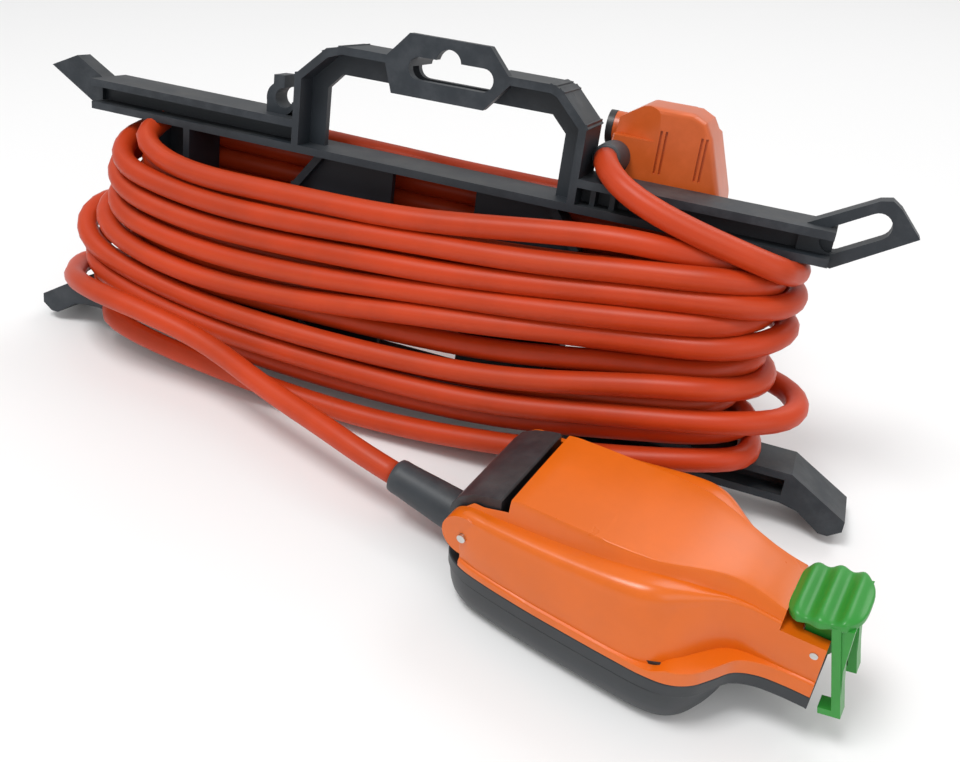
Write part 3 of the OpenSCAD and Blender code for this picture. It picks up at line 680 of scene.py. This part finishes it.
def tube(name, line, radius, sides, material):
    """A round sheath along a line; the attribute run holds the distance along it and round it."""
    line = np.array(line)
    n = len(line)
    tangent = np.gradient(line, axis=0)
    tangent /= np.linalg.norm(tangent, axis=1)[:, None]
    side = np.cross(tangent[0], (0, 0, 1.0))
    side /= np.linalg.norm(side)
    run = np.concatenate([[0], np.cumsum(np.linalg.norm(np.diff(line, axis=0), axis=1))])
    angles = np.linspace(0, 2 * math.pi, sides, endpoint=False)
    points, marks = [], []
    for i in range(n):
        side = side - tangent[i] * np.dot(side, tangent[i])
        side /= np.linalg.norm(side)
        up = np.cross(tangent[i], side)
        ring = line[i] + radius * (np.cos(angles)[:, None] * side + np.sin(angles)[:, None] * up)
        points.append(ring)
        across = radius * np.cos(angles), radius * np.sin(angles)
        marks.append(np.stack([np.full(sides, run[i]), *across], axis=1))
    rings, faces = loft(points)
    thing = object_from(name, rings, faces, material)
    mark = thing.data.attributes.new("run", "FLOAT_VECTOR", "POINT")
    mark.data.foreach_set("vector", np.concatenate(marks).ravel().astype(np.float32))
    return thing, run[-1]


# Steps along the flex in millimetres: while it relaxes, when it is smoothed, and the least between two
# points of its route
RELAX_STEP = 5.0
SMOOTH_STEP = 2.5
LEAST_STEP = 6.0
SMOOTHINGS = 14


def steps_in(points):
    """How many relaxing steps a stretch of the route takes."""
    run = sum((Vector(points[i + 1]) - Vector(points[i])).length for i in range(len(points) - 1))
    return int(round(run / RELAX_STEP))


class LEAD_OT_flex(bpy.types.Operator):
    """One flex from the trailing socket, round the carrier and over its bar to the plug"""

    bl_idname = "lead.flex"
    bl_label = "Flex"

    def execute(self, context):
        settings = context.scene.lead_flex
        control, first, last = winding_points()
        smooth, _ = resample(spline(control, 10), RELAX_STEP)
        head = steps_in(control[:first - 1])
        tail = steps_in(control[::-1][:last - 1])
        laid = relax(smooth, settings.diameter / MM, (head, tail))
        socket_end = [Vector(p) for p in control[:first]]
        plug_end = [Vector(p) for p in control[-last:]]
        middle = [Vector(p) for p in laid[head + 1:len(laid) - tail - 1:2]]
        route = [socket_end[0]]
        for p in socket_end[1:] + middle + plug_end:
            if (p - route[-1]).length > LEAST_STEP:
                route.append(p)
        laid, _ = resample(spline(route, 6), SMOOTH_STEP)
        for _ in range(SMOOTHINGS):
            laid[2:-2] += 0.25 * (laid[1:-3] + laid[3:-1] - 2 * laid[2:-2])
        laid, _ = resample([Vector(p) for p in laid], settings.spacing / MM)
        world = [CARRIER @ (Vector(p) * MM) for p in laid]
        world[0] = Vector(SOCKET_ROUTE[0]) * MM
        thing, length = tube("flex", world, settings.diameter / 2, 14, sheath_material(settings))
        settle(thing, "root", "flex_sheath", "cord_winding", "cord_to_socket", "cord_to_plug")
        return {"FINISHED"}


# ---------------------------------------------------------------- carrier


class LEAD_OT_carrier(bpy.types.Operator):
    """Moulded carrier with its handle, horns and clip"""

    bl_idname = "lead.carrier"
    bl_label = "Carrier"

    def execute(self, context):
        settings = context.scene.lead_plastics
        finish = moulded(
            "Carrier plastic", tuple(settings.carrier), 0.52, grain=1400, depth=0.05, tone=0.2, wear=0.5,
            dust=0.1)
        thing = cad_copy("carrier", "carrier_frame", finish, settings.edge, 2, 30)
        settle(thing, "root", "carrier_plastic", "carrier_frame")
        return {"FINISHED"}


# ---------------------------------------------------------------- trailing socket

# Half outlines in millimetres: the side that tray and underside share, then the tray's neck or the round end
FLANK = [
    (-46, 0), (-46, 10), (-45.6, 18), (-43, 24), (-37, 28.3), (-28, 30.6), (-10, 33), (8, 34.6), (22, 35.6),
    (32, 36),
]
BODY = FLANK + [(40, 34.9), (46, 31.3), (50.5, 25.5), (54.5, 20), (61, 16.9), (69, 16), (77, 16)]
BELLY = FLANK + [(40, 34.6), (46, 30.2), (50, 23.5), (52.8, 15), (54, 7), (54, 0)]
# Axes of the cover's and the latch's pins, in x and z, and their bores' radii
HINGE_X, HINGE_Z, HINGE_BORE = -36, 34, 1.53
LATCH_X, LATCH_Z, LATCH_BORE = 74, 36.5, 1.23


def half_line(points):
    return [(p.x, p.y) for p in spline([(x, y, 0) for x, y in points], 8)]


def whole_outline(points):
    """A closed outline mirrored over the long axis."""
    half = half_line(points)
    other = [(x, -y) for x, y in half[::-1] if y > 1e-6]
    return half + other


def inset_outline(outline, inset):
    """Moves a closed outline inwards along its own normals."""
    p = np.array(outline)
    t = np.roll(p, -1, axis=0) - np.roll(p, 1, axis=0)
    t /= np.maximum(np.linalg.norm(t, axis=1), 1e-9)[:, None]
    normal = np.stack([t[:, 1], -t[:, 0]], axis=1)
    area = 0.5 * np.sum(p[:, 0] * np.roll(p[:, 1], -1) - np.roll(p[:, 0], -1) * p[:, 1])
    return p - normal * inset * np.sign(area)


def stack(name, outline, levels, material=None):
    """A body from one outline set in by a given amount at each height."""
    rings = [[(x * MM, y * MM, z * MM) for x, y in inset_outline(outline, inset)] for z, inset in levels]
    return object_from(name, *loft(rings), material)


def along(x, table):
    """Smooth value from a table of (x, value) rows."""
    xs = [row[0] for row in table]
    x = min(max(x, xs[0]), xs[-1])
    i = max(k for k in range(len(xs)) if xs[k] <= x)
    if i == len(xs) - 1:
        return table[-1][1]
    t = (x - xs[i]) / (xs[i + 1] - xs[i])
    slopes = []
    for k in (i, i + 1):
        lo, hi = max(k - 1, 0), min(k + 1, len(xs) - 1)
        slopes.append((table[hi][1] - table[lo][1]) / (xs[hi] - xs[lo]))
    width = xs[i + 1] - xs[i]
    h00, h01 = 2 * t ** 3 - 3 * t ** 2 + 1, -2 * t ** 3 + 3 * t ** 2
    h10, h11 = t ** 3 - 2 * t ** 2 + t, t ** 3 - t ** 2
    return h00 * table[i][1] + h10 * width * slopes[0] + h01 * table[i + 1][1] + h11 * width * slopes[1]


# Half widths and heights along the cover: rim, wall foot, shoulder, its top, crease beside the plateau, and
# the plateau's top
RIM = [(-46, 18)] + BODY[3:]
FOOT = [
    (-44, 24), (-37, 27.4), (-28, 29.6), (-10, 31.9), (8, 33.4), (20, 34.3), (29, 34.2), (35, 32.2),
    (40, 28.2), (44, 23.4), (48, 18.8), (52, 16.2), (57, 15.2), (64, 14.9), (77, 14.9),
]
SHOULDER = [
    (-44, 23.5), (-38, 26.6), (-28, 28.2), (-10, 29.8), (8, 31.0), (18, 31.4), (26, 30.8), (32, 28.6),
    (37, 24.8), (42, 20.4), (47, 16.6), (52, 14.9), (58, 14.2), (77, 14.0),
]
RIDGE = [
    (-45, 34), (-43, 39.4), (-38, 42.4), (-28, 43.2), (-10, 44.4), (5, 45.8), (18, 47.4), (27, 48.2),
    (34, 47.6), (40, 46.2), (46, 45.0), (54, 43.8), (62, 42.6), (77, 42.0),
]
CREASE = [
    (-45, 21.6), (-36, 22.2), (-20, 22.6), (0, 22.8), (14, 22.6), (24, 21.6), (32, 19.6), (40, 16.4),
    (47, 13.9), (54, 12.9), (77, 12.6),
]
CROWN = [
    (-45, 34), (-40, 40), (-34, 45.4), (-28, 48.8), (-23.5, 50.4), (-18, 51), (20, 51), (38, 50.9), (46, 50),
    (54, 47.8), (62, 45.4), (69, 44.2), (77, 44),
]
COVER_SECTIONS = 110


def cover_section(x, wall, low):
    """Half section of the cover at x: lip, side wall, rounded shoulder, crease and plateau."""
    side = wall * (1 + 2.2 * min(max((x - 30) / 10, 0), 1))
    rim, foot, shoulder = (along(x, table) - side for table in (RIM, FOOT, SHOULDER))
    ridge, crease, crown = along(x, RIDGE) - wall, along(x, CREASE) - wall, along(x, CROWN) - wall
    ridge = min(ridge, crown - 0.1)
    ahead = min(max((x - 33) / 6, 0), 1)
    lip = low + 2.0 + 2.6 * ahead * ahead * (3 - 2 * ahead)
    points = [(rim, low), (rim, lip), (rim - 0.35, lip + 0.6), (max(foot, crease + 1.2), lip + 0.9)]
    foot = min(foot, rim - 0.4)
    shoulder = min(shoulder, foot - 0.3)
    crease = min(crease, shoulder - 0.6)
    radius = min(6.0, (shoulder - crease) * 0.55, (ridge - lip - 1) * 0.5)
    bend = ridge - radius
    for t in (0.0, 0.25, 0.5, 0.75, 0.95):
        swell = 0.7 * math.sin(math.pi * t)
        points.append((foot + (shoulder - foot) * t + swell, lip + 1.2 + (bend - lip - 1.2) * t))
    for k in range(7):
        a = math.radians(90 * (k + 0.5) / 7)
        points.append((shoulder - radius + radius * math.cos(a), bend + radius * math.sin(a)))
    dip = ridge - 0.045 * (shoulder - crease)
    for t in (0.35, 0.75):
        points.append((shoulder - radius + (crease - shoulder + radius) * t, ridge + (dip - ridge) * t))
    rise = max(crown - dip, 0.1)
    step = min(2.6, rise * 0.7)
    for t in (0.0, 0.3, 0.6, 0.85, 1.0):
        s = t * t * (3 - 2 * t)
        points.append((crease - step * t, dip + rise * s))
    for t in (0.3, 0.6, 0.85):
        points.append(((crease - step) * (1 - t), crown + 0.25 * (1 - (1 - t) ** 2)))
    return points


def cover_body(name, wall, first, last, low, material=None):
    """The cover's skin from its sections, or its hollow when a wall is given."""
    rings = []
    for i in range(COVER_SECTIONS + 1):
        x = first + (last - first) * i / COVER_SECTIONS
        half = cover_section(x, wall, low)
        middle = (0.0, along(x, CROWN) - wall + 0.25)
        section = half + [middle] + [(-y, z) for y, z in half[::-1]]
        rings.append([(x * MM, y * MM, z * MM) for y, z in section])
    return object_from(name, *loft(rings), material)


class LEAD_OT_base(bpy.types.Operator):
    """Tray and underside of the trailing socket"""

    bl_idname = "lead.base"
    bl_label = "Socket base"

    def execute(self, context):
        settings = context.scene.lead_plastics
        finish = base_plastic(settings)
        body = whole_outline(BODY)
        tray = stack("socket_tray_body", body, [(16.05, 0.35), (16.3, 0), (20.6, 0), (20.95, 0.35)], finish)
        well = [
            (-25.5, -27), (8, -30), (30, -31.5), (41, -26), (46, -18), (46, 18), (41, 26), (30, 31.5), (8, 30),
            (-25.5, 27),
        ]
        carve(tray, prism("cut", well, 15, 40))
        profile = [
            (-45.7, 20), (-45.7, 35), (-44.6, 39.4), (-41.6, 43.6), (-36.5, 46.6), (-30, 48.6), (-27.2, 49.1),
            (-26.6, 48.5), (-26.6, 20),
        ]
        rings = [[(x * MM, y * MM, z * MM) for x, z in profile] for y in (-20.8, 20.8)]
        carve(tray, object_from("hinge_block", *loft(rings)), "UNION")
        carve(tray, box("neck", (53.5, -13.3, 19.5), (76.9, 13.3, 23.9)), "UNION")
        carve(tray, rod("way", (44, 0, 26), (84, 0, 26), 6))
        carve(tray, cross_rod("pin", HINGE_X, HINGE_Z, 40, HINGE_BORE))
        soften(tray, 0.0007, 3, 35)
        settle(tray, "root", "base_plastic", "socket_tray")

        levels = [
            (0.0, 7.6), (0.35, 6.2), (1.3, 4.6), (3.0, 3.1), (5.5, 1.9), (9.0, 1.1), (12.5, 0.75), (15.3, 0.6),
            (15.75, 1.0),
        ]
        under = stack("socket_underside_body", whole_outline(BELLY), levels, finish)
        for x, y in ((-32, 17), (-32, -17), (40, 22), (40, -22)):
            carve(under, rod("recess", (x, y, -1), (x, y, 2.6), 3.2))
        soften(under, 0.0005, 2, 40)
        settle(under, "root", "base_plastic", "socket_underside")
        return {"FINISHED"}


class LEAD_OT_cover(bpy.types.Operator):
    """Weather cover with its ears and neck"""

    bl_idname = "lead.cover"
    bl_label = "Weather cover"

    def execute(self, context):
        settings = context.scene.lead_plastics
        finish = moulded(
            "Cover plastic", tuple(settings.cover), 0.3, grain=500, depth=0.012, tone=0.05, wear=0.12, dust=0.0,
            coat=0.12)
        cover = cover_body("weather_cover_body", 0.0, -43.6, 76.8, 21.3, finish)
        carve(cover, box("heel", (-70, -40, 15), (-37, 40, 27)))
        for side in (-1, 1):
            ear = rod("ear", (HINGE_X, side * 21.8, HINGE_Z), (HINGE_X, side * 27.6, HINGE_Z), 8.0)
            carve(cover, ear, "UNION")
        carve(cover, cover_body("hollow", 2.4, -27.0, 60.0, 19.0))
        carve(cover, box("neck_floor", (40, -13.6, 19), (90, 13.6, 31.8)))
        carve(cover, box("step", (63, -30, 40), (100, 30, 60)))
        carve(cover, box("block_room", (-70, -21.4, 15), (-23.5, 21.4, 70)))
        carve(cover, cross_rod("barrel_room", HINGE_X, HINGE_Z, 21.4, 14))
        carve(cover, cross_rod("pin", HINGE_X, HINGE_Z, 40, HINGE_BORE))
        carve(cover, box("latch_slot", (68.5, -10, 28.5), (90, 10, 60)))
        carve(cover, cross_rod("latch_pin", LATCH_X, LATCH_Z, 30, LATCH_BORE))
        soften(cover, 0.0006, 3, 38)
        settle(cover, "cover", "cover_plastic", "weather_cover")
        return {"FINISHED"}


def finger_pad(name, material):
    """A cushion-shaped pad with three rounded ribs across it and a rounded rim."""
    rings = []
    rows, sides = 44, 64
    for i in range(rows + 1):
        u = -math.cos(math.pi * i / rows) * 0.999
        x = 1.0 + 11.5 * u
        wave = math.cos(2 * math.pi * (x - 1.0) / 7.0)
        reach = 13.0 * (1 - abs(u) ** 3.4) ** (1 / 2.6) + 0.5 * wave * (1 - abs(u) ** 4)
        height = 2.1 * (1 - abs(u) ** 8) ** 0.5
        ring = []
        for k in range(sides):
            a = 2 * math.pi * k / sides
            c, s = math.cos(a), math.sin(a)
            y = reach * math.copysign(abs(c) ** 0.55, c)
            z = height * math.copysign(abs(s) ** 0.45, s)
            if s > 0:
                z += 0.9 * wave * abs(s) ** 0.6 * (1 - abs(u) ** 6)
            ring.append((x * MM, y * MM, (10.3 + z) * MM))
        rings.append(ring)
    return object_from(name, *loft(rings), material)


class LEAD_OT_latch(bpy.types.Operator):
    """Green latch with a ribbed finger pad"""

    bl_idname = "lead.latch"
    bl_label = "Latch"

    def execute(self, context):
        settings = context.scene.lead_plastics
        finish = moulded(
            "Latch plastic", tuple(settings.latch), 0.36, grain=700, depth=0.02, tone=0.08, wear=0.2,
            dust=0.02, coat=0.05)
        pivot = Matrix.Translation((LATCH_X * MM, 0, LATCH_Z * MM))
        lean = pivot @ Matrix.Rotation(math.radians(-14), 4, "Y")
        pad = finger_pad("latch_body", finish)
        carve(pad, box("web", (-3.9, -9.2, 1.0), (3.9, 9.2, 10)), "UNION")
        for y in (-12.6, 7.3):
            carve(pad, box("leg", (4.3, y, -24.3), (6.9, y + 5.3, 10)), "UNION")
            carve(pad, box("toe", (0.3, y, -24.3), (5.0, y + 5.3, -21.9)), "UNION")
            gusset = [(4.4, 9.5), (10.5, 9.5), (7.4, -6), (6.8, -18), (4.4, -18)]
            rings = [[(x * MM, s * MM, z * MM) for x, z in gusset] for s in (y + 0.6, y + 4.7)]
            carve(pad, object_from("gusset", *loft(rings)), "UNION")
        carve(pad, cross_rod("barrel", 0, 0, 9.2, 4.2), "UNION")
        carve(pad, cross_rod("pin", 0, 0, 20, 1.25))
        soften(pad, 0.0006, 3, 35)
        pad.data.transform(lean)
        settle(pad, "latch", "latch_plastic", "latch")
        return {"FINISHED"}


# ---------------------------------------------------------------- plug and boots


def boot(name, line, radii, material, sides=40):
    """A tapered relief along a line, with its radius at each point in millimetres."""
    rings = []
    line = [Vector(p) for p in line]
    for i, p in enumerate(line):
        t = (line[min(i + 1, len(line) - 1)] - line[max(i - 1, 0)]).normalized()
        side = t.cross(Vector((0, 0, 1))).normalized()
        up = side.cross(t)
        rings.append([p + (side * math.cos(a) + up * math.sin(a)) * radii[i] * MM for a in circle(sides)])
    return object_from(name, *loft(rings), material)


# The plug's outline and middle in x and z of the carrier, in millimetres
PLUG_OUTLINE = [
    (66.5, 131.5), (75.5, 137.4), (78, 138.2), (95, 138), (100, 135.6), (103.3, 130.2), (110.6, 109),
    (112, 98), (110.6, 92), (106, 89), (72, 88.6), (66.4, 92), (64.8, 100), (64.4, 114),
]
PLUG_MIDDLE = (88, 113)


def plug_block(name, levels, material=None):
    """The plug's outline between levels of y, grown from its middle by the amount given at each."""
    rings = []
    for y, grow in levels:
        ring = []
        for x, z in PLUG_OUTLINE:
            away = Vector((x - PLUG_MIDDLE[0], z - PLUG_MIDDLE[1])).normalized() * grow
            ring.append(((x + away.x) * MM, y * MM, (z + away.y) * MM))
        rings.append(ring)
    return object_from(name, *loft(rings), material)


def plug_shell_body(material):
    """Plug shell: a tapered block with a slanted facet beside its nose, finger lines and a ledge."""
    levels = ((15.6, -2.4), (16.0, -1.2), (17.0, -0.4), (19.0, 0.0), (30.0, 0.2), (36.4, 0.3))
    shell = plug_block("plug_shell_body", levels, material)
    carve(shell, rod("nose", (63.6, 31, 126), (80, 31, 126), 6.4), "UNION")
    carve(shell, prism("facet", [(60, 12), (83, 12), (83, 15.5), (60, 25)], 125.6, 145))
    for x in (84, 86, 99.4, 101.2):
        carve(shell, box("groove", (x, 12, 114), (x + 0.9, 16.5, 130)))
    carve(shell, box("ledge", (80, 12, 86), (97, 18.2, 110.5)))
    carve(shell, rod("cord_way", (68.9, 8, 118.4), (64, 30, 112.4), 6.9))
    soften(shell, 0.0011, 3, 28)
    shell.data.transform(CARRIER)
    return shell


class LEAD_OT_plug(bpy.types.Operator):
    """Plug shell and pin plate, its boot, and the socket's boot"""

    bl_idname = "lead.plug"
    bl_label = "Plug and boots"

    def execute(self, context):
        settings = context.scene.lead_plastics
        orange = moulded(
            "Plug plastic", tuple(settings.plug), 0.36, grain=700, depth=0.02, tone=0.06, wear=0.2, dust=0.04,
            coat=0.1)
        soft = boot_rubber()
        shell = plug_shell_body(orange)
        settle(shell, "root", "plug_plastic", "plug_shell")
        plate = cad_copy("plug_pin_plate_body", "plug_pin_plate", orange)
        trim = plug_block("trim", ((30, 0.3), (50, 0.3)))
        trim.data.transform(CARRIER)
        carve(plate, trim, "INTERSECT")
        soften(plate, 0.0005, 2, 30)
        settle(plate, "root", "plug_plastic", "plug_pin_plate")
        line = [
            (64, 29, 112.8), (66.5, 24, 114.6), (68.2, 17.5, 117), (68.6, 10, 118.2), (68.5, 4, 118.5),
            (68.5, 1, 118.5),
        ]
        radii = [
            6.4, 6.5, 6.5, 6.4, 6.4, 6.4, 6.3, 6.3, 6.2, 6.2, 6.1, 6.0, 5.9, 5.8, 5.7, 5.6, 5.5, 5.5, 5.4, 5.3,
            4.7,
        ]
        relief = boot("plug_boot_body", [CARRIER @ (p * MM) for p in spline(line, 4)], radii, soft)
        settle(relief, "root", "boot_rubber", "plug_boot")
        line = [
            (-46.1, 13.3), (-48, 13.4), (-50, 13.7), (-52, 14.05), (-55, 14.6), (-60, 15.4), (-66, 16.5),
            (-72, 17.5), (-77, 18.4), (-79.5, 18.85), (-81, 19.1), (-81.4, 19.15),
        ]
        radii = [8.5, 8.5, 8.3, 8.0, 7.85, 7.6, 7.25, 6.9, 6.6, 6.6, 6.3, 5.6]
        relief = boot("socket_boot_body", [Vector((x, 0, z)) * MM for x, z in line], radii, soft)
        settle(relief, "root", "boot_rubber", "socket_boot")
        return {"FINISHED"}


class LEAD_OT_spring(bpy.types.Operator):
    """Shutter spring, copied from its frame piece in zinc plate"""

    bl_idname = "lead.spring"
    bl_label = "Shutter spring"

    def execute(self, context):
        spring = cad_copy("shutter_spring_coil", "shutter_spring", zinc_plate())
        settle(spring, "root", "steel", "shutter_spring")
        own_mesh(spring)
        return {"FINISHED"}


class LEAD_OT_small(bpy.types.Operator):
    """Finishes of the pins, screws, seals, contacts and cores"""

    bl_idname = "lead.small"
    bl_label = "Small parts"

    def execute(self, context):
        settings = context.scene.lead_plastics
        finishes = {
            "brass": moulded(
                "Brass", (0.62, 0.42, 0.14), 0.26, grain=1500, depth=0.01, tone=0.1, wear=0.3, dust=0.02,
                metal=1.0),
            "black_plastic": moulded("Black plastic", (0.012, 0.012, 0.014), 0.42, grain=900),
            "fuse_ceramic": moulded("Fuse body", (0.74, 0.7, 0.6), 0.5, grain=1500),
            "white_plastic": moulded("White plastic", (0.76, 0.74, 0.68), 0.4, grain=900),
            "steel": zinc_plate(),
            "boot_rubber": boot_rubber(),
            "core_green": moulded("Green and yellow core", (0.12, 0.32, 0.03), 0.4),
            "core_brown": moulded("Brown core", (0.16, 0.055, 0.02), 0.4),
            "core_blue": moulded("Blue core", (0.02, 0.07, 0.42), 0.4),
            "base_plastic": base_plastic(settings),
            "seal_rubber": moulded("Seal rubber", (0.009, 0.009, 0.01), 0.6, grain=700),
        }
        for part in frame["record"]["subparts"]:
            if part["material_slot"] in finishes:
                dress(part["node"], finishes[part["material_slot"]])
        return {"FINISHED"}


class LEAD_PT_panel(bpy.types.Panel):
    """Buttons for each group of pieces"""

    bl_label = "Outdoor extension lead"
    bl_idname = "LEAD_PT_panel"
    bl_space_type = "VIEW_3D"
    bl_region_type = "UI"
    bl_category = "Lead"

    def draw(self, context):
        layout = self.layout
        for step in STEPS:
            layout.operator(step.bl_idname)
        for group in (context.scene.lead_flex, context.scene.lead_plastics, context.scene.lead_stage):
            group_box = layout.box()
            for key in group.__annotations__:
                group_box.prop(group, key)


GROUP_CLASSES = (LEAD_PG_flex, LEAD_PG_plastics, LEAD_PG_stage)
STEPS = (
    LEAD_OT_stage, LEAD_OT_flex, LEAD_OT_carrier, LEAD_OT_base, LEAD_OT_cover, LEAD_OT_latch, LEAD_OT_plug,
    LEAD_OT_spring, LEAD_OT_small,
)


def register():
    for cls in (*GROUP_CLASSES, *STEPS, LEAD_PT_panel):
        bpy.utils.register_class(cls)
    bpy.types.Scene.lead_flex = bpy.props.PointerProperty(type=LEAD_PG_flex)
    bpy.types.Scene.lead_plastics = bpy.props.PointerProperty(type=LEAD_PG_plastics)
    bpy.types.Scene.lead_stage = bpy.props.PointerProperty(type=LEAD_PG_stage)


def unregister():
    for name in ("lead_flex", "lead_plastics", "lead_stage"):
        delattr(bpy.types.Scene, name)
    for cls in (LEAD_PT_panel, *STEPS[::-1], *GROUP_CLASSES[::-1]):
        bpy.utils.unregister_class(cls)


def main():
    register()
    bpy.ops.lead.stage()
    bpy.ops.lead.flex()
    bpy.ops.lead.carrier()
    bpy.ops.lead.base()
    bpy.ops.lead.cover()
    bpy.ops.lead.latch()
    bpy.ops.lead.plug()
    bpy.ops.lead.spring()
    bpy.ops.lead.small()
    bpy.context.view_layer.update()


if __name__ == "__main__":
    main()
